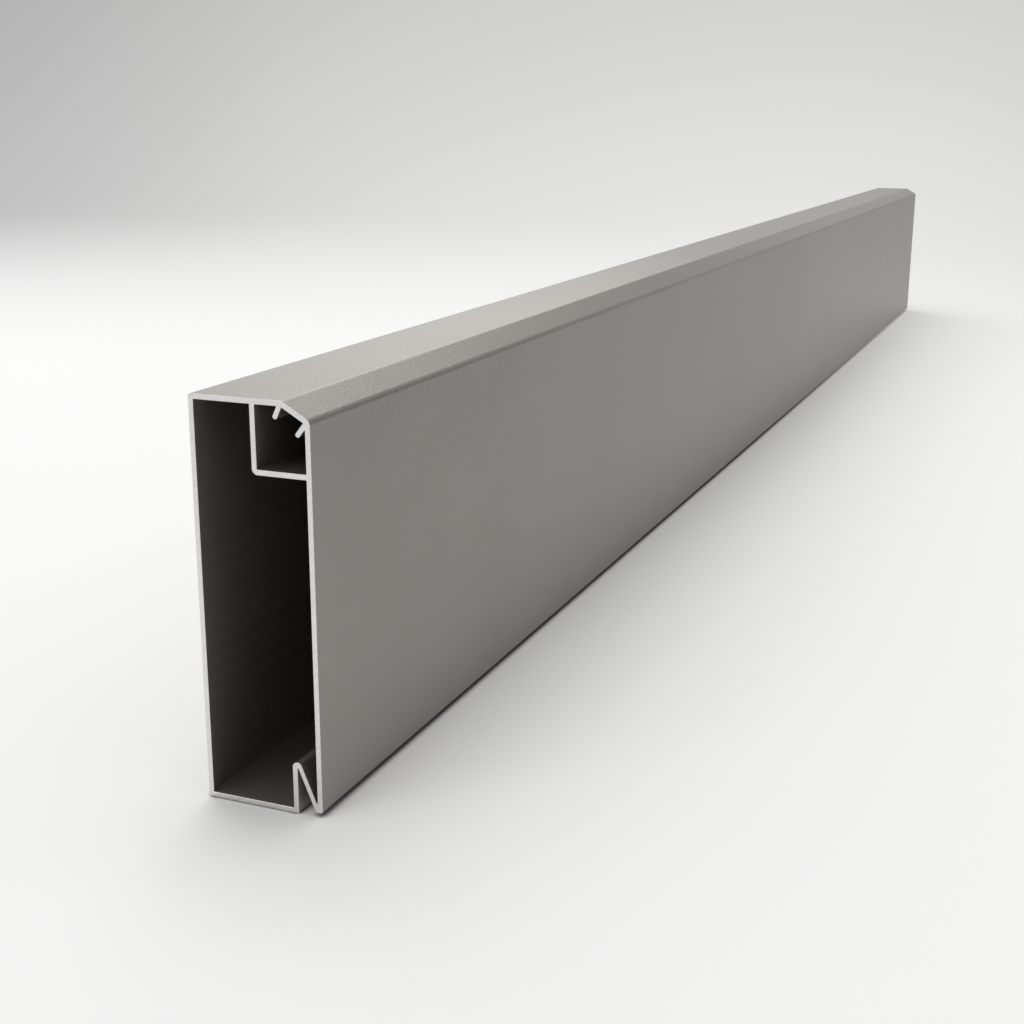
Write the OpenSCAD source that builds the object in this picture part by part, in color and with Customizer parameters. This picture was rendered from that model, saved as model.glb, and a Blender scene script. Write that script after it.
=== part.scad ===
// Extruded aluminium hollow profile, cut to length and standing on its narrow edge.
// X runs across the section, Y along the stock and Z up. The origin is at the middle of the underside.
// The section is drawn with x from the plain long side and z from the floor.

/* [Stock] */
// Cut length of the stock
length = 1000; // [100:10:6000]
// Height of the section
height = 100; // [60:0.5:200]
// Width of the section over both long sides
width = 31.5; // [29:0.5:60]
// Thickness of every main wall and of the partition
wall = 1.3; // [1:0.1:1.8]
// Radius of the two outer corners of the plain side
outer_r = 0.8; // [0.3:0.1:2]
// Radius of the corners inside the chambers
inner_r = 0.15; // [0.1:0.05:0.5]

/* [Corner chamber] */
// Clear width of the small chamber in the top corner
chamber_w = 12.8; // [10:0.1:24]
// Clear height of the small chamber in the top corner
chamber_h = 15; // [12:0.5:40]

/* [Chamfer] */
// How far the chamfer reaches in from the grooved side, measured across the top
chamfer_run = 7.1; // [5:0.1:9]
// Fall of the chamfer from level
chamfer_angle = 30; // [20:1:40]
// Radius where the top turns into the chamfer
chamfer_top_r = 2; // [0.3:0.1:3]
// Radius where the chamfer turns into the side
chamfer_side_r = 1.8; // [0.5:0.1:3]

/* [Clip ribs] */
// Thickness of the two ribs under the chamfer
clip_t = 1.2; // [0.9:0.05:1.5]
// How far the upper rib stands in from its end of the chamfer, along the outer face
clip_top_inset = 0; // [0:0.05:0.6]
// How far the lower rib stands in from its end of the chamfer, along the outer face
clip_side_inset = 0.45; // [0:0.05:0.6]
// Lean of the upper rib from upright
clip_top_lean = 25; // [15:1:32]
// Lean of the lower rib from upright
clip_side_lean = 38; // [34:1:48]
// Length of the upper rib from the outer face to its tip
clip_top_reach = 4.65; // [3.5:0.05:6.5]
// Length of the lower rib from the outer face to its tip
clip_side_reach = 5.05; // [4.7:0.05:7]

/* [Underside groove] */
// Clear width of the groove at its mouth
groove_w = 4.6; // [4:0.1:8]
// Lean of the sloping brace from upright
brace_lean = 22.5; // [18:0.5:30]
// Thickness of the sloping brace
brace_t = 1.15; // [0.9:0.05:1.5]
// Width of the blunt foot where the brace meets the side
foot_w = 1.85; // [1.6:0.05:2.2]
// Height of the foot above the floor
foot_gap = 1.2; // [0.6:0.1:2]
// Radius of the corners of the foot
foot_r = 0.5; // [0.2:0.1:0.8]
// Radius at the top of the groove
groove_r = 0.15; // [0.05:0.05:0.3]

/* [Hidden] */
// Above 12 sides a circle stands for a true arc
$fn = 96;

// Inner faces of the outer walls
side_in = width - wall;
top_in = height - wall;
// Faces of the partition that closes off the corner chamber
chamber_x = side_in - chamber_w;
chamber_z = top_in - chamber_h;
partition_x = chamber_x - wall;
partition_z = chamber_z - wall;
// Ends of the chamfer before they are rounded
chamfer_x = width - chamfer_run;
chamfer_z = height - chamfer_run * tan(chamfer_angle);
chamfer_dir = [cos(chamfer_angle), -sin(chamfer_angle)];
// Lean of the brace as run over rise, and its thickness measured level
brace_slope = tan(brace_lean);
brace_level_t = brace_t / cos(brace_lean);
// Leg beside the groove, and the foot at the bottom of the brace
foot_x = width - foot_w;
leg_out = foot_x - groove_w;
leg_in = leg_out - wall;
groove_top = foot_gap + groove_w / brace_slope;
// Radius that carries the wall thickness around a bend
bend_r = inner_r + wall;
// Radius of the rib tips, a little under half the rib so that a narrow flat is left
clip_tip_r = 0.4 * clip_t;
// How far a sharp edge is grown about the centre of its arc before it is cut off
edge_growth = 1.2;
// How far an arc swells past the faces it joins, so that arc and face always cross cleanly
blend_slack = 0.0005;

// Direction of unit length from one corner to another
function toward(a, b) = let (d = [b[0] - a[0], b[1] - a[1]]) d / norm(d);

// Point where two lines cross, each given by a point on it and its direction
function crossing(a, a_dir, b, b_dir) = a + a_dir * cross(b - a, b_dir) / cross(a_dir, b_dir);

// Height of the brace's face at x, where the face meets the line of the foot at start_x
function brace_z(start_x, x) = foot_gap + (start_x - x) / brace_slope;

// Direction of a rib that leans from upright, pointing down to its tip
function lean_dir(lean) = [-sin(lean), -cos(lean)];

// The two corners at the tip of a rib, first the one nearer the grooved side
function rib_tip(root, lean, reach) =
    let (end = root + reach * lean_dir(lean), half = clip_t / 2 * [cos(lean), -sin(lean)])
    [end + half, end - half];

// A point as an outline's corner [x, z, radius]
function corner(point, r) = [point[0], point[1], r];

// A bend is three corners of an outline in turn, and its middle one is rounded
function tip(bend) = [bend[1][0], bend[1][1]];
function radius(bend) = bend[1][2];
function back(bend) = toward(bend[1], bend[0]);
function ahead(bend) = toward(bend[1], bend[2]);
function half_angle(bend) = acos(back(bend) * ahead(bend)) / 2;

// True where an anticlockwise outline bulges out at the bend
function bulges(bend) = cross(ahead(bend), back(bend)) > 0;

// Centre of the arc that rounds the bend, and the two points where the arc meets the faces
function arc_centre(bend) =
    tip(bend) + radius(bend) / sin(half_angle(bend)) * toward([0, 0], back(bend) + ahead(bend));
function arc_ends(bend) =
    let (reach = radius(bend) / tan(half_angle(bend)))
    [tip(bend) + reach * back(bend), tip(bend) + reach * ahead(bend)];

// Disc of the arc that rounds the bend
module arc_disc(bend) {
    translate(arc_centre(bend))
        circle(r = radius(bend) + blend_slack);
}

// What lies between a sharp bend and its arc, grown past the sharp faces
module sharp_edge(bend) {
    centre = arc_centre(bend);
    ends = arc_ends(bend);
    difference() {
        polygon([for (p = [centre, ends[0], tip(bend), ends[1]]) centre + edge_growth * (p - centre)]);
        arc_disc(bend);
    }
}

// Closed anticlockwise outline of corners [x, z, radius], with every corner a true arc
module rounded_outline(corners) {
    n = len(corners);
    bends = [for (i = [0 : n - 1]) [corners[(i + n - 1) % n], corners[i], corners[(i + 1) % n]]];
    difference() {
        polygon([for (bend = bends) each bulges(bend) ? [tip(bend)] : arc_ends(bend)]);
        for (bend = bends) {
            if (bulges(bend))
                sharp_edge(bend);
            else
                arc_disc(bend);
        }
    }
}

// Everything inside the outer faces, with the groove left open
module outer_outline() {
    rounded_outline([
        [0, 0, outer_r],
        [leg_out, 0, inner_r],
        [leg_out, groove_top, groove_r],
        [foot_x, foot_gap, foot_r],
        [width, foot_gap, foot_r],
        [width, chamfer_z, chamfer_side_r],
        [chamfer_x, height, chamfer_top_r],
        [0, height, outer_r],
    ]);
}

// Large chamber, bounded by the brace at the bottom and the partition at the top
module main_chamber() {
    brace_start = foot_x + brace_level_t;
    rounded_outline([
        [wall, wall, inner_r],
        [leg_in, wall, inner_r],
        [leg_in, brace_z(brace_start, leg_in), wall],
        [side_in, brace_z(brace_start, side_in), inner_r],
        [side_in, partition_z, inner_r],
        [partition_x, partition_z, bend_r],
        [partition_x, top_in, inner_r],
        [wall, top_in, inner_r],
    ]);
}

// Small chamber in the top corner, with the two ribs standing into it
module corner_chamber() {
    chamfer_in = [chamfer_x, height] - wall * [sin(chamfer_angle), cos(chamfer_angle)];
    top_root = [chamfer_x, height] + clip_top_inset * chamfer_dir;
    side_root = [width, chamfer_z] - clip_side_inset * chamfer_dir;
    top_down = lean_dir(clip_top_lean);
    side_down = lean_dir(clip_side_lean);
    top_tip = rib_tip(top_root, clip_top_lean, clip_top_reach);
    side_tip = rib_tip(side_root, clip_side_lean, clip_side_reach);
    rounded_outline([
        [chamber_x, chamber_z, inner_r],
        [side_in, chamber_z, inner_r],
        corner(crossing(side_tip[0], side_down, [side_in, 0], [0, 1]), inner_r),
        corner(side_tip[0], clip_tip_r),
        corner(side_tip[1], clip_tip_r),
        corner(crossing(side_tip[1], side_down, chamfer_in, chamfer_dir), inner_r),
        corner(crossing(top_tip[0], top_down, chamfer_in, chamfer_dir), inner_r),
        corner(top_tip[0], clip_tip_r),
        corner(top_tip[1], clip_tip_r),
        corner(crossing(top_tip[1], top_down, [0, top_in], [1, 0]), inner_r),
        [chamber_x, top_in, inner_r],
    ]);
}

// Cross-section of the stock
module section() {
    difference() {
        outer_outline();
        main_chamber();
        corner_chamber();
    }
}

// The one solid: the section carried along the length between two square saw cuts
module profile() {
    color("#a9a8a6")
        rotate([90, 0, 0])
            linear_extrude(height = length, center = true)
                translate([-width / 2, 0])
                    section();
}

profile();
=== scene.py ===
"""Looks of a hollow aluminium extrusion, sawn to length and standing on its narrow edge.

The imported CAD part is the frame. One swept piece, with finer arcs, deburred saw cuts and three finishes,
stands for its only node. A pale studio floor, soft lamps and a camera show it.
"""

import logging
import math
from dataclasses import dataclass, field
from enum import Enum, IntEnum
from typing import Any, ClassVar

import bmesh
import bpy
from mathutils import Matrix, Vector


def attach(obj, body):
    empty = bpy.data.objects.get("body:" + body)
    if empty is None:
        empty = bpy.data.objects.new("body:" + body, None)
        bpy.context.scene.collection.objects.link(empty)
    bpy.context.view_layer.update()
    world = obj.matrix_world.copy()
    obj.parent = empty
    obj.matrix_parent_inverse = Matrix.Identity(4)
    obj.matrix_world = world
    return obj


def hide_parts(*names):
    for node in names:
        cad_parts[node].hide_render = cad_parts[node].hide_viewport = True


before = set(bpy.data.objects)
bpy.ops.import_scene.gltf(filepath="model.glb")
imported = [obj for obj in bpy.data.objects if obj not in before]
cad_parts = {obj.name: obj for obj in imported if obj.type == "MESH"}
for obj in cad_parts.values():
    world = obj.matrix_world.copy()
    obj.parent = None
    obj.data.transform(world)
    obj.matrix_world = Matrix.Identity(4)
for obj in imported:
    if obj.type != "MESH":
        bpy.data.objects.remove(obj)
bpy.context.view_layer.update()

log = logging.getLogger("extrusion")

MM = 0.001
SENSOR_MM = 36.0

Colour = tuple[float, float, float, float]


def linear(hex_code: str) -> Colour:
    """Turns an sRGB hex colour into linear values.

    Args:
        hex_code: Colour such as "#b2b0ac".

    Returns:
        Linear red, green and blue, with an alpha of 1.
    """
    levels = [int(hex_code[i:i + 2], 16) / 255 for i in (1, 3, 5)]
    red, green, blue = (c / 12.92 if c <= 0.04045 else ((c + 0.055) / 1.055) ** 2.4 for c in levels)
    return red, green, blue, 1.0


def add_node(
    tree: bpy.types.NodeTree,
    kind: str,
    settings: dict[str, Any] | None = None,
    inputs: dict[str | int, Any] | None = None,
) -> bpy.types.Node:
    """Adds one node, sets it and feeds it.

    Args:
        tree: Node tree that takes the node.
        kind: Blender's type name of the node.
        settings: Values of the node's own properties.
        inputs: For each input, by name or number, a socket to link from or a value to set.

    Returns:
        The new node.
    """
    node = tree.nodes.new(kind)
    for name, value in (settings or {}).items():
        setattr(node, name, value)
    for key, value in (inputs or {}).items():
        if isinstance(value, bpy.types.NodeSocket):
            tree.links.new(value, node.inputs[key])
        else:
            node.inputs[key].default_value = value
    return node


def new_material(name: str) -> tuple[bpy.types.Material, bpy.types.NodeTree]:
    """Makes an empty node material.

    Args:
        name: Name of the material.

    Returns:
        The material and its cleared node tree.
    """
    material = bpy.data.materials.new(name)
    material.use_nodes = True
    material.node_tree.nodes.clear()
    return material, material.node_tree


@dataclass(frozen=True)
class AluminiumFinish:
    """Finish of one kind of face: metal, marked by the way that its surface was made."""

    name: str
    dark_hex: str
    light_hex: str
    roughness: float
    # How far the marks move the roughness either way
    roughness_swing: float
    # Fineness of the marks: how many finer layers the noise has, and how strong each is beside the last
    mark_layers: ClassVar[float] = 2.5
    mark_layer_share: ClassVar[float] = 0.6
    # Strengths of the marks below which the dark colour is full, and above which the light one is
    dark_below: ClassVar[float] = 0.3
    light_above: ClassVar[float] = 0.7

    def marks(
        self, tree: bpy.types.NodeTree, size_mm: tuple[float, float, float], turn_deg: float = 0.0
    ) -> bpy.types.NodeSocket:
        """Draws soft marks of one size on the piece.

        Args:
            tree: Tree of the finish's material.
            size_mm: Spacing of the marks along X, Y and Z.
            turn_deg: Turn of the marks about Y.

        Returns:
            Socket with the strength of the marks, from 0 to 1.
        """
        place = add_node(tree, "ShaderNodeTexCoord").outputs["Object"]
        fitted = add_node(
            tree, "ShaderNodeMapping", {"vector_type": "TEXTURE"},
            {
                "Vector": place,
                "Rotation": (0.0, math.radians(turn_deg), 0.0),
                "Scale": tuple(spacing * MM for spacing in size_mm),
            },
        ).outputs["Vector"]
        return add_node(
            tree, "ShaderNodeTexNoise", None,
            {"Vector": fitted, "Scale": 1.0, "Detail": self.mark_layers, "Roughness": self.mark_layer_share},
        ).outputs["Fac"]

    def metal(
        self,
        tree: bpy.types.NodeTree,
        tone: bpy.types.NodeSocket,
        gloss: bpy.types.NodeSocket,
        relief: bpy.types.NodeSocket,
        relief_mm: float,
    ) -> None:
        """Adds the metal, with its colour, roughness and relief taken from marks.

        Args:
            tree: Tree of the finish's material.
            tone: Marks that run from the dark colour to the light one.
            gloss: Marks that move the roughness.
            relief: Marks that stand up from the surface.
            relief_mm: Height of the relief.
        """
        colour = add_node(tree, "ShaderNodeValToRGB", None, {"Fac": tone})
        tones = ((self.dark_below, self.dark_hex), (self.light_above, self.light_hex))
        for stop, (position, hex_code) in zip(colour.color_ramp.elements, tones):
            stop.position = position
            stop.color = linear(hex_code)
        roughness = add_node(
            tree, "ShaderNodeMapRange", None,
            {
                "Value": gloss,
                "To Min": self.roughness - self.roughness_swing,
                "To Max": self.roughness + self.roughness_swing,
            },
        )
        bump = add_node(
            tree, "ShaderNodeBump", None, {"Strength": 1.0, "Distance": relief_mm * MM, "Height": relief}
        )
        shader = add_node(
            tree, "ShaderNodeBsdfPrincipled", None,
            {
                "Base Color": colour.outputs["Color"],
                "Metallic": 1.0,
                "Roughness": roughness.outputs["Result"],
                "Normal": bump.outputs["Normal"],
            },
        )
        add_node(tree, "ShaderNodeOutputMaterial", None, {"Surface": shader.outputs["BSDF"]})


@dataclass(frozen=True)
class SatinAnodisedSkin(AluminiumFinish):
    """Etched and anodised aluminium, as on the outer faces.

    The caustic etch leaves a fine sandy tooth, so the metal has no mirror left: it reads as an even warm grey
    that goes lighter where it is lit at a low angle, and only that light picks out the grain.
    """

    name: str = "satin_anodised_aluminium"
    dark_hex: str = "#93908c"
    light_hex: str = "#979490"
    roughness: float = 0.44
    roughness_swing: float = 0.03
    # The etched tooth is about 0.05 mm on the real metal, too fine to show, so it is drawn at 0.5 mm
    tooth_mm: float = 0.5
    tooth_depth_mm: float = 0.1
    # Lines that the die draws along the stock, and the share that they have in the tone
    die_line_mm: float = 0.9
    die_line_length_mm: float = 900.0
    die_line_share: float = 0.3
    # Slow change of tone from the anodising bath
    cloud_mm: float = 55.0

    def build(self) -> bpy.types.Material:
        """Makes the material.

        Returns:
            The finished material.
        """
        material, tree = new_material(self.name)
        clouds = self.marks(tree, (self.cloud_mm, self.cloud_mm, self.cloud_mm))
        die_lines = self.marks(tree, (self.die_line_mm, self.die_line_length_mm, self.die_line_mm))
        tooth = self.marks(tree, (self.tooth_mm, self.tooth_mm, self.tooth_mm))
        tone = add_node(tree, "ShaderNodeMix", None, {0: self.die_line_share, 2: clouds, 3: die_lines})
        self.metal(tree, tone.outputs[0], die_lines, tooth, self.tooth_depth_mm)
        return material


@dataclass(frozen=True)
class MillFinishWithPaintedShade(AluminiumFinish):
    """Aluminium as it left the press, on the walls of the chambers.

    The die drags long lines along the metal. The walls mirror each other and little light comes back out, so
    a chamber goes dark a little way in. Its colours are also set darker than bare aluminium, which paints
    more shade onto the chamber walls.
    """

    name: str = "mill_finish_aluminium_painted_shade"
    # Darker than bare mill-finish aluminium: partly painted shade for the insides of the chambers
    dark_hex: str = "#6f6c68"
    light_hex: str = "#777470"
    roughness: float = 0.5
    roughness_swing: float = 0.06
    die_line_mm: float = 0.7
    die_line_length_mm: float = 500.0
    die_line_depth_mm: float = 0.0025

    def build(self) -> bpy.types.Material:
        """Makes the material.

        Returns:
            The finished material.
        """
        material, tree = new_material(self.name)
        die_lines = self.marks(tree, (self.die_line_mm, self.die_line_length_mm, self.die_line_mm))
        self.metal(tree, die_lines, die_lines, die_lines, self.die_line_depth_mm)
        return material


@dataclass(frozen=True)
class SawnAluminium(AluminiumFinish):
    """Bare aluminium fresh from a carbide saw, on both ends.

    The teeth leave fine straight strokes across the cut. With no oxide film on it the metal is paler and a
    little cooler than the skin, and its strokes make it sparkle unevenly.
    """

    name: str = "sawn_bare_aluminium"
    dark_hex: str = "#dcdad7"
    light_hex: str = "#ebe9e6"
    roughness: float = 0.46
    roughness_swing: float = 0.08
    # Saw strokes are about 0.1 mm apart on the real cut, too fine to show, so they are drawn 0.3 mm apart
    stroke_mm: float = 0.3
    stroke_length_mm: float = 14.0
    stroke_depth_mm: float = 0.006
    # Fall of the strokes from level, the way the blade came down
    stroke_turn_deg: float = -28.0

    def build(self) -> bpy.types.Material:
        """Makes the material.

        Returns:
            The finished material.
        """
        material, tree = new_material(self.name)
        spacing = (self.stroke_length_mm, self.stroke_mm, self.stroke_mm)
        strokes = self.marks(tree, spacing, self.stroke_turn_deg)
        self.metal(tree, strokes, strokes, strokes, self.stroke_depth_mm)
        return material


class Zone(IntEnum):
    """Which finish a face of the extrusion wears."""

    SKIN = 0
    CHAMBER = 1
    SAWN = 2

    @property
    def socket(self) -> str:
        """Gives the name of the sweep's input for the zone's material."""
        return self.name.capitalize()


class Side(Enum):
    """On which side of an anticlockwise outline the metal lies."""

    INSIDE = 1.0
    OUTSIDE = -1.0


@dataclass(frozen=True)
class Corner:
    """One corner of an outline in the section, in millimetres."""

    x: float
    z: float
    radius: float

    @property
    def point(self) -> Vector:
        """Gives the sharp corner's place."""
        return Vector((self.x, self.z))


@dataclass(frozen=True)
class RimPoint:
    """A point on a rounded outline, with the direction into the metal there."""

    place: Vector
    into_metal: Vector


@dataclass(frozen=True)
class Outline:
    """A closed anticlockwise outline with every corner rounded."""

    corners: tuple[Corner, ...]
    metal: Side
    # Largest turn of the outline between two points on an arc, and the fewest steps that an arc takes
    arc_step_deg: float = 6.0
    fewest_steps: int = 2
    # Length of the short straight beside each arc, which keeps the flats' shading flat
    shoulder_mm: float = 0.04

    def points(self) -> list[RimPoint]:
        """Walks the outline once.

        Returns:
            Its points in order, without repeating the first.
        """
        count = len(self.corners)
        walked: list[RimPoint] = []
        for i, corner in enumerate(self.corners):
            walked += self._bend(self.corners[i - 1], corner, self.corners[(i + 1) % count])
        return walked

    def _bend(self, before: Corner, corner: Corner, after: Corner) -> list[RimPoint]:
        """Rounds one corner.

        Args:
            before: The corner before it.
            corner: The corner to round.
            after: The corner after it.

        Returns:
            The points of its arc, with a shoulder on either side.
        """
        arriving = (corner.point - before.point).normalized()
        leaving = (after.point - corner.point).normalized()
        turn = math.atan2(arriving.cross(leaving), arriving.dot(leaving))
        reach = corner.radius * math.tan(abs(turn) / 2)
        # Left of the way along the outline is its inside
        start_normal = Vector((-arriving.y, arriving.x))
        end_normal = Vector((-leaving.y, leaving.x))
        toward_centre = math.copysign(1.0, turn)
        start = corner.point - reach * arriving
        end = corner.point + reach * leaving
        centre = start + toward_centre * corner.radius * start_normal
        steps = max(self.fewest_steps, math.ceil(abs(math.degrees(turn)) / self.arc_step_deg))
        side = self.metal.value
        bend = [RimPoint(start - self.shoulder_mm * arriving, side * start_normal)]
        for step in range(steps + 1):
            normal = start_normal.copy()
            normal.rotate(Matrix.Rotation(turn * step / steps, 2))
            bend.append(RimPoint(centre - toward_centre * corner.radius * normal, side * normal))
        bend.append(RimPoint(end + self.shoulder_mm * leaving, side * end_normal))
        return bend


@dataclass
class HollowProfile:
    """The extrusion: one section with two chambers, swept along its length and sawn square.

    All sizes are in millimetres. The section is drawn with x from the plain side and z from the floor.
    """

    length: float = 1000.0
    height: float = 100.0
    width: float = 31.5
    wall: float = 1.3
    outer_r: float = 0.8
    inner_r: float = 0.15
    chamber_w: float = 12.8
    chamber_h: float = 15.0
    chamfer_run: float = 7.1
    chamfer_deg: float = 30.0
    chamfer_top_r: float = 2.0
    chamfer_side_r: float = 1.8
    rib_t: float = 1.2
    rib_tip_r: float = 0.48
    top_rib_inset: float = 0.0
    side_rib_inset: float = 0.45
    top_rib_lean_deg: float = 25.0
    side_rib_lean_deg: float = 38.0
    top_rib_reach: float = 4.65
    side_rib_reach: float = 5.05
    groove_w: float = 4.6
    groove_r: float = 0.15
    brace_lean_deg: float = 22.5
    brace_t: float = 1.15
    foot_w: float = 1.85
    foot_gap: float = 1.2
    foot_r: float = 0.5
    # Deburred edge that runs round both saw cuts
    rim_break: float = 0.07
    # Points nearer than this are one point once the cuts are joined to the walls
    weld: float = 0.001
    skin: SatinAnodisedSkin = field(default_factory=SatinAnodisedSkin)
    chamber: MillFinishWithPaintedShade = field(default_factory=MillFinishWithPaintedShade)
    sawn: SawnAluminium = field(default_factory=SawnAluminium)

    def outer_outline(self) -> Outline:
        """Draws the outer faces, groove included.

        Returns:
            The outline, with the metal inside it.
        """
        slope = math.tan(math.radians(self.brace_lean_deg))
        foot_x = self.width - self.foot_w
        leg_out = foot_x - self.groove_w
        chamfer_z = self.height - self.chamfer_run * math.tan(math.radians(self.chamfer_deg))
        return Outline(
            (
                Corner(0.0, 0.0, self.outer_r),
                Corner(leg_out, 0.0, self.inner_r),
                Corner(leg_out, self.foot_gap + self.groove_w / slope, self.groove_r),
                Corner(foot_x, self.foot_gap, self.foot_r),
                Corner(self.width, self.foot_gap, self.foot_r),
                Corner(self.width, chamfer_z, self.chamfer_side_r),
                Corner(self.width - self.chamfer_run, self.height, self.chamfer_top_r),
                Corner(0.0, self.height, self.outer_r),
            ),
            Side.INSIDE,
        )

    def main_chamber(self) -> Outline:
        """Draws the large chamber, from the brace up to the partition.

        Returns:
            The outline, with the metal outside it.
        """
        slope = math.tan(math.radians(self.brace_lean_deg))
        foot_x = self.width - self.foot_w
        brace_start = foot_x + self.brace_t / math.cos(math.radians(self.brace_lean_deg))
        leg_in = foot_x - self.groove_w - self.wall
        side_in, top_in = self.width - self.wall, self.height - self.wall
        partition_x = side_in - self.chamber_w - self.wall
        partition_z = top_in - self.chamber_h - self.wall
        return Outline(
            (
                Corner(self.wall, self.wall, self.inner_r),
                Corner(leg_in, self.wall, self.inner_r),
                Corner(leg_in, self.foot_gap + (brace_start - leg_in) / slope, self.wall),
                Corner(side_in, self.foot_gap + (brace_start - side_in) / slope, self.inner_r),
                Corner(side_in, partition_z, self.inner_r),
                Corner(partition_x, partition_z, self.inner_r + self.wall),
                Corner(partition_x, top_in, self.inner_r),
                Corner(self.wall, top_in, self.inner_r),
            ),
            Side.OUTSIDE,
        )

    def corner_chamber(self) -> Outline:
        """Draws the small chamber in the top corner, around its two ribs.

        Returns:
            The outline, with the metal outside it.
        """
        fall = math.radians(self.chamfer_deg)
        chamfer_dir = Vector((math.cos(fall), -math.sin(fall)))
        chamfer_top = Vector((self.width - self.chamfer_run, self.height))
        chamfer_side = Vector((self.width, self.height - self.chamfer_run * math.tan(fall)))
        chamfer_in = chamfer_top - self.wall * Vector((math.sin(fall), math.cos(fall)))
        side_in, top_in = self.width - self.wall, self.height - self.wall
        left, floor = side_in - self.chamber_w, top_in - self.chamber_h
        top_down, top_near, top_far = self._rib(
            chamfer_top + self.top_rib_inset * chamfer_dir, self.top_rib_lean_deg, self.top_rib_reach
        )
        side_down, side_near, side_far = self._rib(
            chamfer_side - self.side_rib_inset * chamfer_dir, self.side_rib_lean_deg, self.side_rib_reach
        )
        upright, level = Vector((0.0, 1.0)), Vector((1.0, 0.0))
        side_wall, ceiling = Vector((side_in, 0.0)), Vector((0.0, top_in))
        turns = (
            (Vector((left, floor)), self.inner_r),
            (Vector((side_in, floor)), self.inner_r),
            (self._crossing(side_near, side_down, side_wall, upright), self.inner_r),
            (side_near, self.rib_tip_r),
            (side_far, self.rib_tip_r),
            (self._crossing(side_far, side_down, chamfer_in, chamfer_dir), self.inner_r),
            (self._crossing(top_near, top_down, chamfer_in, chamfer_dir), self.inner_r),
            (top_near, self.rib_tip_r),
            (top_far, self.rib_tip_r),
            (self._crossing(top_far, top_down, ceiling, level), self.inner_r),
            (Vector((left, top_in)), self.inner_r),
        )
        return Outline(tuple(Corner(p.x, p.y, r) for p, r in turns), Side.OUTSIDE)

    def _rib(self, root: Vector, lean_deg: float, reach: float) -> tuple[Vector, Vector, Vector]:
        """Finds one rib under the chamfer.

        Args:
            root: Where its middle line meets the outer face.
            lean_deg: Its lean from upright.
            reach: Its length from the outer face to its tip.

        Returns:
            Its direction downwards, and the two corners of its tip, the one nearer the grooved side first.
        """
        lean = math.radians(lean_deg)
        down = Vector((-math.sin(lean), -math.cos(lean)))
        half = self.rib_t / 2 * Vector((math.cos(lean), -math.sin(lean)))
        tip = root + reach * down
        return down, tip + half, tip - half

    @staticmethod
    def _crossing(a: Vector, a_dir: Vector, b: Vector, b_dir: Vector) -> Vector:
        """Finds where two lines of the section cross.

        Args:
            a: Point on the first line.
            a_dir: Direction of the first line.
            b: Point on the second line.
            b_dir: Direction of the second line.

        Returns:
            The crossing.
        """
        return a + a_dir * ((b - a).cross(b_dir) / a_dir.cross(b_dir))

    def section_wires(self) -> bpy.types.Mesh:
        """Draws the three outlines as wires in the XY plane, in metres.

        Returns:
            A mesh of edges with the attributes into_metal and in_chamber on its points.
        """
        places: list[tuple[float, float, float]] = []
        edges: list[tuple[int, int]] = []
        inward: list[float] = []
        in_chamber: list[float] = []
        for outline in (self.outer_outline(), self.main_chamber(), self.corner_chamber()):
            first, walked = len(places), outline.points()
            for i, point in enumerate(walked):
                places.append(((point.place.x - self.width / 2) * MM, point.place.y * MM, 0.0))
                edges.append((first + i, first + (i + 1) % len(walked)))
                inward += (point.into_metal.x, point.into_metal.y, 0.0)
                in_chamber.append(float(outline.metal is Side.OUTSIDE))
        wires = bpy.data.meshes.new("section_wires")
        wires.from_pydata(places, edges, [])
        wires.attributes.new("into_metal", "FLOAT_VECTOR", "POINT").data.foreach_set("vector", inward)
        wires.attributes.new("in_chamber", "FLOAT", "POINT").data.foreach_set("value", in_chamber)
        return wires

    def sweep_tree(self) -> bpy.types.NodeTree:
        """Builds the node tree that sweeps the section and saws it off.

        Returns:
            A tree with the inputs Length, Rim Break and one material for each zone.
        """
        tree = bpy.data.node_groups.new("sawn_extrusion", "GeometryNodeTree")
        face = tree.interface
        face.new_socket("Geometry", in_out="OUTPUT", socket_type="NodeSocketGeometry")
        face.new_socket("Geometry", in_out="INPUT", socket_type="NodeSocketGeometry")
        for name in ("Length", "Rim Break"):
            face.new_socket(name, in_out="INPUT", socket_type="NodeSocketFloat")
        for zone in Zone:
            face.new_socket(zone.socket, in_out="INPUT", socket_type="NodeSocketMaterial")
        given = add_node(tree, "NodeGroupInput").outputs
        into_metal = add_node(
            tree, "GeometryNodeInputNamedAttribute", {"data_type": "FLOAT_VECTOR"}, {"Name": "into_metal"}
        ).outputs["Attribute"]
        step_in = add_node(
            tree, "ShaderNodeVectorMath", {"operation": "SCALE"},
            {"Vector": into_metal, "Scale": given["Rim Break"]},
        ).outputs["Vector"]
        # The deburred edge leaves the cut face a little smaller than the section
        cut = add_node(
            tree, "GeometryNodeSetPosition", None, {"Geometry": given["Geometry"], "Offset": step_in}
        ).outputs["Geometry"]
        joined = add_node(tree, "GeometryNodeJoinGeometry")
        for part in (self._walls(tree, given, cut, step_in), *self._cuts(tree, given, cut)):
            tree.links.new(part, joined.inputs["Geometry"])
        merged = add_node(
            tree, "GeometryNodeMergeByDistance", None,
            {"Geometry": joined.outputs["Geometry"], "Distance": self.weld * MM},
        ).outputs["Geometry"]
        # Stand the section up: its y becomes Z, and the sweep runs along Y about the middle of the length
        half = add_node(
            tree, "ShaderNodeMath", {"operation": "MULTIPLY"}, {0: given["Length"], 1: 0.5}
        ).outputs["Value"]
        centring = add_node(tree, "ShaderNodeCombineXYZ", None, {"Y": half}).outputs["Vector"]
        upright = add_node(
            tree, "GeometryNodeTransform", None,
            {"Geometry": merged, "Translation": centring, "Rotation": (math.radians(90.0), 0.0, 0.0)},
        ).outputs["Geometry"]
        add_node(tree, "NodeGroupOutput", None, {"Geometry": self._dress(tree, given, upright)})
        return tree

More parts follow.
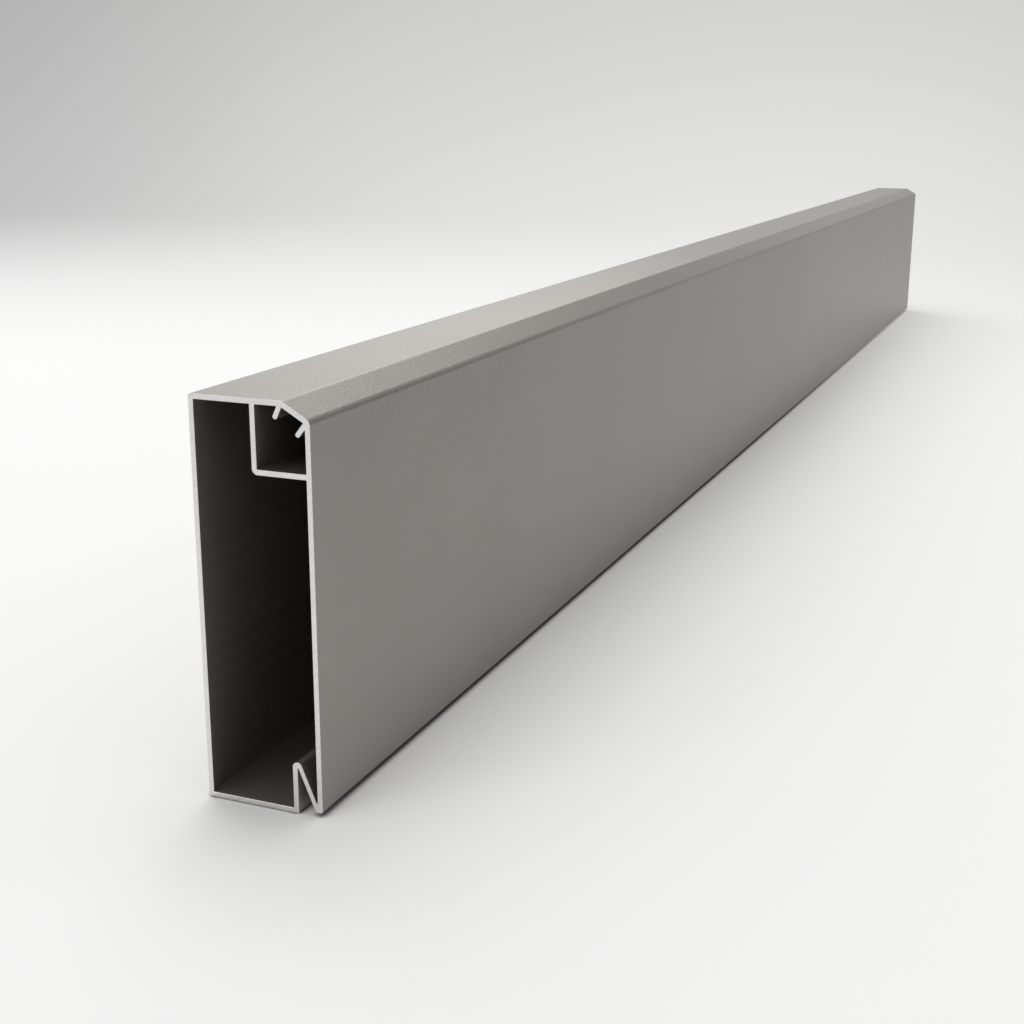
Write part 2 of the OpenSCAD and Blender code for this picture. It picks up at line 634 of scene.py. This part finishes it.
    @staticmethod
    def _walls(
        tree: bpy.types.NodeTree,
        given: bpy.types.NodeOutputs,
        cut: bpy.types.NodeSocket,
        step_in: bpy.types.NodeSocket,
    ) -> bpy.types.NodeSocket:
        """Draws the wires of the near cut out into walls, with a deburred edge at both ends.

        Args:
            tree: The sweep's tree.
            given: The tree's inputs.
            cut: Wires of the near cut.
            step_in: Step of the deburred edge into the metal.

        Returns:
            Socket with the walls, which have their zones stored on their faces.
        """
        step_out = add_node(
            tree, "ShaderNodeVectorMath", {"operation": "SCALE"}, {"Vector": step_in, "Scale": -1.0}
        ).outputs["Vector"]
        both_breaks = add_node(
            tree, "ShaderNodeMath", {"operation": "MULTIPLY"}, {0: given["Rim Break"], 1: 2.0}
        ).outputs["Value"]
        plain_length = add_node(
            tree, "ShaderNodeMath", {"operation": "SUBTRACT"}, {0: given["Length"], 1: both_breaks}
        ).outputs["Value"]
        # Between the deburred edges in_chamber is the zone itself: 0 is the skin and 1 a chamber
        in_chamber = add_node(
            tree, "GeometryNodeInputNamedAttribute", {"data_type": "FLOAT"}, {"Name": "in_chamber"}
        ).outputs["Attribute"]
        # The wires step out to the full section, run along it and shrink into the metal again
        walls, top = cut, None
        for run, widen, zone in (
            (given["Rim Break"], step_out, int(Zone.SAWN)),
            (plain_length, None, in_chamber),
            (given["Rim Break"], step_in, int(Zone.SAWN)),
        ):
            along = add_node(tree, "ShaderNodeCombineXYZ", None, {"Z": run}).outputs["Vector"]
            pull = {"Mesh": walls, "Offset": along}
            if top is not None:
                pull["Selection"] = top
            drawn = add_node(tree, "GeometryNodeExtrudeMesh", {"mode": "EDGES"}, pull)
            walls, top, sides = (drawn.outputs[name] for name in ("Mesh", "Top", "Side"))
            if widen is not None:
                walls = add_node(
                    tree, "GeometryNodeSetPosition", None,
                    {"Geometry": walls, "Selection": top, "Offset": widen},
                ).outputs["Geometry"]
            walls = add_node(
                tree, "GeometryNodeSetShadeSmooth", None,
                {"Geometry": walls, "Selection": sides, "Shade Smooth": widen is None},
            ).outputs["Geometry"]
            walls = add_node(
                tree, "GeometryNodeStoreNamedAttribute", {"data_type": "INT", "domain": "FACE"},
                {"Geometry": walls, "Selection": sides, "Name": "zone", "Value": zone},
            ).outputs["Geometry"]
        return walls

    @staticmethod
    def _cuts(
        tree: bpy.types.NodeTree, given: bpy.types.NodeOutputs, cut: bpy.types.NodeSocket
    ) -> tuple[bpy.types.NodeSocket, bpy.types.NodeSocket]:
        """Fills the wires of the near cut with flat faces, and copies them to the far end.

        Args:
            tree: The sweep's tree.
            given: The tree's inputs.
            cut: Wires of the near cut.

        Returns:
            Sockets with the near cut and the far one.
        """
        outlines = add_node(tree, "GeometryNodeMeshToCurve", None, {"Mesh": cut}).outputs["Curve"]
        filled = add_node(tree, "GeometryNodeFillCurve", {"mode": "NGONS"}, {"Curve": outlines})
        marked = add_node(
            tree, "GeometryNodeStoreNamedAttribute", {"data_type": "INT", "domain": "FACE"},
            {"Geometry": filled.outputs["Mesh"], "Name": "zone", "Value": int(Zone.SAWN)},
        ).outputs["Geometry"]
        near_cut = add_node(
            tree, "GeometryNodeSetShadeSmooth", None, {"Geometry": marked, "Shade Smooth": False}
        ).outputs["Geometry"]
        lift = add_node(tree, "ShaderNodeCombineXYZ", None, {"Z": given["Length"]}).outputs["Vector"]
        far_cut = add_node(
            tree, "GeometryNodeTransform", None, {"Geometry": near_cut, "Translation": lift}
        ).outputs["Geometry"]
        return near_cut, far_cut

    @staticmethod
    def _dress(
        tree: bpy.types.NodeTree, given: bpy.types.NodeOutputs, bare: bpy.types.NodeSocket
    ) -> bpy.types.NodeSocket:
        """Gives each face the material of its zone.

        Args:
            tree: The sweep's tree.
            given: The tree's inputs.
            bare: The swept and sawn stock, with its zones stored on its faces.

        Returns:
            Socket with the dressed stock.
        """
        dressed = add_node(
            tree, "GeometryNodeRealizeInstances", None, {"Geometry": bare}
        ).outputs["Geometry"]
        which = add_node(
            tree, "GeometryNodeInputNamedAttribute", {"data_type": "INT"}, {"Name": "zone"}
        ).outputs["Attribute"]
        for zone in Zone:
            chosen = add_node(
                tree, "FunctionNodeCompare", {"data_type": "INT", "operation": "EQUAL"},
                {2: which, 3: int(zone)},
            ).outputs["Result"]
            dressed = add_node(
                tree, "GeometryNodeSetMaterial", None,
                {"Geometry": dressed, "Selection": chosen, "Material": given[zone.socket]},
            ).outputs["Geometry"]
        return dressed

    def build(self) -> bpy.types.Object:
        """Sweeps the section into a plain closed mesh and dresses it.

        Returns:
            The finished piece, riding on the part and standing for its CAD node.
        """
        piece = bpy.data.objects.new("profile_stock", self.section_wires())
        bpy.context.scene.collection.objects.link(piece)
        tree = self.sweep_tree()
        sweep = piece.modifiers.new("sweep", "NODES")
        sweep.node_group = tree
        values = {
            "Length": self.length * MM,
            "Rim Break": self.rim_break * MM,
            Zone.SKIN.socket: self.skin.build(),
            Zone.CHAMBER.socket: self.chamber.build(),
            Zone.SAWN.socket: self.sawn.build(),
        }
        for socket in tree.interface.items_tree:
            if socket.in_out == "INPUT" and socket.name in values:
                sweep[socket.identifier] = values[socket.name]
        graph = bpy.context.evaluated_depsgraph_get()
        wires, piece_mesh = piece.data, bpy.data.meshes.new_from_object(piece.evaluated_get(graph))
        piece.modifiers.remove(sweep)
        piece.data = piece_mesh
        piece_mesh.name = "profile_stock"
        bpy.data.meshes.remove(wires)
        # The sweep leaves an empty slot before the finishes, which no face uses
        piece_mesh.materials.pop(index=0)
        self._face_outwards(piece_mesh)
        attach(piece, "root")
        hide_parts("profile")
        return piece

    @staticmethod
    def _face_outwards(mesh: bpy.types.Mesh) -> None:
        """Turns every face of a closed mesh outwards.

        Args:
            mesh: The mesh to turn.
        """
        shell = bmesh.new()
        shell.from_mesh(mesh)
        bmesh.ops.recalc_face_normals(shell, faces=shell.faces)
        shell.to_mesh(mesh)
        shell.free()


@dataclass(frozen=True)
class SoftLamp:
    """A square white softbox, aimed at a point, with its place and side in metres."""

    name: str
    place: tuple[float, float, float]
    aim: tuple[float, float, float]
    side: float
    watts: float

    def build(self) -> bpy.types.Object:
        """Hangs the lamp.

        Returns:
            The lamp's object.
        """
        lamp = bpy.data.lights.new(self.name, "AREA")
        lamp.shape = "SQUARE"
        lamp.size = self.side
        lamp.energy = self.watts
        hung = bpy.data.objects.new(self.name, lamp)
        hung.location = self.place
        hung.rotation_euler = (Vector(self.aim) - Vector(self.place)).to_track_quat("-Z", "Y").to_euler()
        bpy.context.scene.collection.objects.link(hung)
        return hung


@dataclass(frozen=True)
class StudioWalls:
    """Soft light of the studio's walls and ceiling, which the far floor fades into.

    Each ring lists the grey of the walls at headings in degrees, clockwise from +Y, from -180 to 180.
    """

    low_ring: tuple[tuple[float, str], ...] = (
        (-180.0, "#a6a6a6"), (-75.0, "#b6b6b6"), (-50.0, "#b6b6b6"), (-40.0, "#bdbdbd"), (-31.0, "#cfcfce"),
        (-18.0, "#dbdbda"), (-4.0, "#dadad9"), (12.0, "#c8c8c8"), (35.0, "#ffffff"), (75.0, "#a6a6a6"),
        (180.0, "#a6a6a6"),
    )
    high_ring: tuple[tuple[float, str], ...] = (
        (-180.0, "#ffffff"), (-110.0, "#595959"), (-30.0, "#e4e4e3"), (25.0, "#e8e8e7"), (75.0, "#696969"),
        (130.0, "#595959"), (180.0, "#ffffff"),
    )
    ceiling_hex: str = "#d5d5d4"
    # Middle of the rings, from which the floor takes its headings
    middle: tuple[float, float, float] = (0.18, -0.78, 0.16)
    # Sines of the elevations between which the low ring gives way to the high one, and that to the ceiling
    low_to_high: tuple[float, float] = (0.06, 0.24)
    high_to_ceiling: tuple[float, float] = (0.25, 0.6)
    # Share that the low ring loses for each unit of the sine, from this sine below the horizon upwards
    low_fall: float = 1.4
    low_fall_start: float = -0.08

    def nodes(self, tree: bpy.types.NodeTree, direction: bpy.types.NodeSocket) -> bpy.types.NodeSocket:
        """Adds the nodes of the light to a tree.

        Args:
            tree: Tree of the floor's material or of the world.
            direction: Socket with the direction looked in.

        Returns:
            The socket with the light's colour.
        """
        unit = add_node(tree, "ShaderNodeVectorMath", {"operation": "NORMALIZE"}, {0: direction})
        part = add_node(tree, "ShaderNodeSeparateXYZ", None, {"Vector": unit.outputs["Vector"]}).outputs
        heading = add_node(tree, "ShaderNodeMath", {"operation": "ARCTAN2"}, {0: part["X"], 1: part["Y"]})
        turn = add_node(
            tree, "ShaderNodeMapRange", None,
            {"Value": heading.outputs["Value"], "From Min": -math.pi, "From Max": math.pi},
        ).outputs["Result"]
        dimming = add_node(
            tree, "ShaderNodeMapRange", None,
            {
                "Value": part["Z"],
                "From Min": self.low_fall_start,
                "From Max": 1.0 / self.low_fall,
                "To Min": 1.0 - self.low_fall * self.low_fall_start,
                "To Max": 0.0,
            },
        ).outputs["Result"]
        light = add_node(
            tree, "ShaderNodeVectorMath", {"operation": "SCALE"},
            {"Vector": self._ring(tree, turn, self.low_ring), "Scale": dimming},
        ).outputs["Vector"]
        for (start, full), above in (
            (self.low_to_high, self._ring(tree, turn, self.high_ring)),
            (self.high_to_ceiling, linear(self.ceiling_hex)),
        ):
            share = add_node(
                tree, "ShaderNodeMapRange", {"interpolation_type": "SMOOTHSTEP"},
                {"Value": part["Z"], "From Min": start, "From Max": full},
            ).outputs["Result"]
            mixed = add_node(tree, "ShaderNodeMix", {"data_type": "RGBA"}, {0: share, 6: light, 7: above})
            light = mixed.outputs[2]
        return light

    @staticmethod
    def _ring(
        tree: bpy.types.NodeTree, turn: bpy.types.NodeSocket, ring: tuple[tuple[float, str], ...]
    ) -> bpy.types.NodeSocket:
        """Adds one ring of wall tones.

        Args:
            tree: Tree that takes the node.
            turn: Socket with the heading as a share of the full turn.
            ring: Headings and their greys.

        Returns:
            The socket with the ring's colour.
        """
        ramp = add_node(tree, "ShaderNodeValToRGB", None, {"Fac": turn})
        ramp.color_ramp.interpolation = "CARDINAL"
        stops = ramp.color_ramp.elements
        for _ in range(len(ring) - len(stops)):
            stops.new(0.5)
        for stop, (degrees, grey) in zip(stops, ring):
            stop.position = degrees / 360 + 0.5
            stop.color = linear(grey)
        return ramp.outputs["Color"]


@dataclass(frozen=True)
class PaleFloor:
    """Matt white studio sweep: a lit floor near the object, which fades far from it into a glow painted in
    the tones of the walls' light.

    Sizes are in metres where no other unit is named.
    """

    name: str = "pale_studio_floor"
    near_hex: str = "#f2f2f2"
    half_side: float = 60.0
    # Just under the object, so that the two never share a plane
    drop: float = 0.00002
    # Middle of the lit floor, and the distances from it between which the fade into the painted glow runs,
    # evenly in logarithm
    lit_middle: tuple[float, float, float] = (-0.4, -1.4, 0.0)
    fade_start: float = 1.35
    fade_end: float = 3.0
    # Painted shade: close under an edge the floor's colour darkens, beyond the soft lamps' own shade: the
    # tone and reach of it, the shares of open sky at which the floor is darkest and plain, and the rays that
    # look for them
    painted_contact_shade_hex: str = "#000000"
    painted_contact_shade_mm: float = 3.0
    painted_contact_shade_range: tuple[float, float] = (0.35, 0.85)
    painted_contact_shade_samples: int = 16

    def build(self, walls: StudioWalls) -> bpy.types.Object:
        """Lays the floor.

        Args:
            walls: The studio's walls, whose tone the floor takes on with distance.

        Returns:
            The floor's object.
        """
        material, tree = new_material(self.name)
        place = add_node(tree, "ShaderNodeTexCoord").outputs["Object"]
        distance = add_node(
            tree, "ShaderNodeVectorMath", {"operation": "DISTANCE"}, {0: place, 1: self.lit_middle}
        )
        span = self.fade_end / self.fade_start
        growth = add_node(
            tree, "ShaderNodeMath", {"operation": "LOGARITHM"}, {0: distance.outputs["Value"], 1: span}
        ).outputs["Value"]
        start = math.log(self.fade_start, span)
        far = add_node(
            tree, "ShaderNodeMapRange", {"interpolation_type": "SMOOTHSTEP"},
            {"Value": growth, "From Min": start, "From Max": start + 1.0},
        ).outputs["Result"]
        # Painted shade: where an edge shuts out the sky close by, the floor's own colour is darkened
        openness = add_node(
            tree, "ShaderNodeAmbientOcclusion", {"samples": self.painted_contact_shade_samples},
            {"Distance": self.painted_contact_shade_mm * MM},
        ).outputs["AO"]
        lit = add_node(
            tree, "ShaderNodeMapRange", {"interpolation_type": "SMOOTHSTEP"},
            {"Value": openness, "From Min": self.painted_contact_shade_range[0], "From Max": self.painted_contact_shade_range[1]},
        ).outputs["Result"]
        # The floor's colour, darkened by painted shade near edges
        paint = add_node(
            tree, "ShaderNodeMix", {"data_type": "RGBA"},
            {0: lit, 6: linear(self.painted_contact_shade_hex), 7: linear(self.near_hex)},
        ).outputs[2]
        matt = add_node(tree, "ShaderNodeBsdfDiffuse", None, {"Color": paint}).outputs["BSDF"]
        outward = add_node(
            tree, "ShaderNodeVectorMath", {"operation": "SUBTRACT"}, {0: place, 1: walls.middle}
        )
        # Painted light: far from the object the floor glows with the walls' tones instead of being lit by the
        # lamps
        sweep = add_node(
            tree, "ShaderNodeEmission", None, {"Color": walls.nodes(tree, outward.outputs["Vector"])}
        ).outputs["Emission"]
        mixed = add_node(tree, "ShaderNodeMixShader", None, {0: far, 1: matt, 2: sweep}).outputs["Shader"]
        add_node(tree, "ShaderNodeOutputMaterial", None, {"Surface": mixed})
        corners = [
            (x * self.half_side, y * self.half_side, -self.drop)
            for x, y in ((-1, -1), (1, -1), (1, 1), (-1, 1))
        ]
        mesh = bpy.data.meshes.new("studio_floor")
        mesh.from_pydata(corners, [], [(0, 1, 2, 3)])
        mesh.materials.append(material)
        floor = bpy.data.objects.new("studio_floor", mesh)
        bpy.context.scene.collection.objects.link(floor)
        return floor


@dataclass
class Studio:
    """Floor, lamps, world and camera."""

    floor: PaleFloor = field(default_factory=PaleFloor)
    walls: StudioWalls = field(default_factory=StudioWalls)
    lamps: tuple[SoftLamp, ...] = (
        SoftLamp("key_softbox", (-1.0, 1.0, 1.7), (0.0, 0.1, 0.0), 1.8, 12.2),
        SoftLamp("overhead_softbox", (-0.2, 0.1, 2.0), (0.0, 0.0, 0.0), 1.2, 8.6),
        SoftLamp("front_softbox", (-0.5, -1.9, 1.4), (0.0, -0.4, 0.05), 1.6, 10.0),
    )
    # Camera of the photograph's view
    lens_mm: float = 51.76
    camera_place: tuple[float, float, float] = (0.1768, -0.7771, 0.1623)
    camera_heading_deg: float = 22.17
    camera_pitch_deg: float = 15.3
    camera_roll_deg: float = 0.19

    def build_world(self) -> None:
        """Makes the world, lit by the studio's walls and ceiling."""
        world = bpy.data.worlds.new("studio_world")
        world.use_nodes = True
        tree = world.node_tree
        tree.nodes.clear()
        direction = add_node(tree, "ShaderNodeTexCoord").outputs["Generated"]
        light = add_node(tree, "ShaderNodeBackground", None, {"Color": self.walls.nodes(tree, direction)})
        add_node(tree, "ShaderNodeOutputWorld", None, {"Surface": light.outputs["Background"]})
        bpy.context.scene.world = world

    def build_camera(self) -> bpy.types.Object:
        """Sets the camera.

        Returns:
            The camera's object.
        """
        lens = bpy.data.cameras.new("photo_camera")
        lens.lens = self.lens_mm
        lens.sensor_width = SENSOR_MM
        camera = bpy.data.objects.new("photo_camera", lens)
        camera.matrix_world = (
            Matrix.Translation(self.camera_place)
            @ Matrix.Rotation(math.radians(self.camera_heading_deg), 4, "Z")
            @ Matrix.Rotation(math.radians(90.0 - self.camera_pitch_deg), 4, "X")
            @ Matrix.Rotation(math.radians(self.camera_roll_deg), 4, "Z")
        )
        bpy.context.scene.collection.objects.link(camera)
        bpy.context.scene.camera = camera
        return camera

    def build(self) -> list[bpy.types.Object]:
        """Sets up the whole studio.

        Returns:
            The camera, the floor and the lamps.
        """
        bpy.context.scene.view_settings.view_transform = "Standard"
        camera = self.build_camera()
        self.build_world()
        floor = self.floor.build(self.walls)
        return [camera, floor, *(lamp.build() for lamp in self.lamps)]


def main() -> None:
    """Builds the extrusion and the studio, and reports each piece."""
    logging.basicConfig(level=logging.INFO, format="%(name)s: %(message)s")
    stock = HollowProfile().build()
    log.info("%s: %d faces, %d finishes", stock.name, len(stock.data.polygons), len(stock.data.materials))
    for thing in Studio().build():
        log.info("studio: %s", thing.name)


if __name__ == "__main__":
    main()
